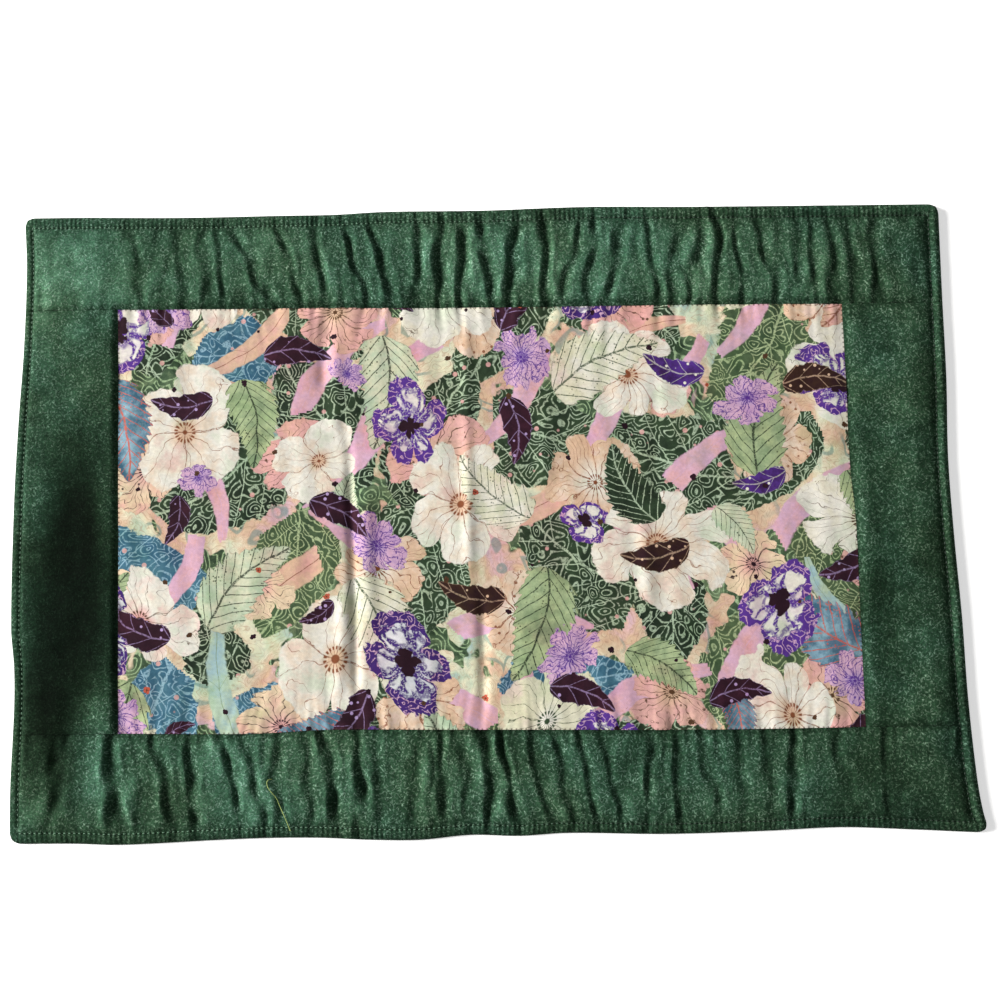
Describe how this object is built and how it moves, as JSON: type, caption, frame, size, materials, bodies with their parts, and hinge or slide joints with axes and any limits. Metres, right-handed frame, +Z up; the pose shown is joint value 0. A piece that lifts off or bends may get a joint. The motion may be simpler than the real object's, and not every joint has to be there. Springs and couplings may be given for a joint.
{
  "type": "fabric placemat",
  "caption": "Rectangular turned and topstitched cloth placemat with a printed centre panel and a puckered plain border.",
  "frame": {"origin": "on the table surface, under the middle of the mat", "axes": "+X along the mat's long side, to the right as the panel is seen; +Y along its short side, away from the sitter; +Z up from the table"},
  "size_m": [0.4629, 0.3078, 0.0048],
  "materials": {
    "green_cloth": "dark green brushed cotton with fine light flecks",
    "printed_cloth": "smooth cotton sateen printed with leaves and flowers",
    "sewing_thread": "light green sewing thread"
  },
  "bodies": {
    "root": {"border_bottom": "green_cloth", "border_left": "green_cloth", "border_right": "green_cloth", "border_top": "green_cloth", "centre_panel": "printed_cloth"}
  },
  "joints": []
}
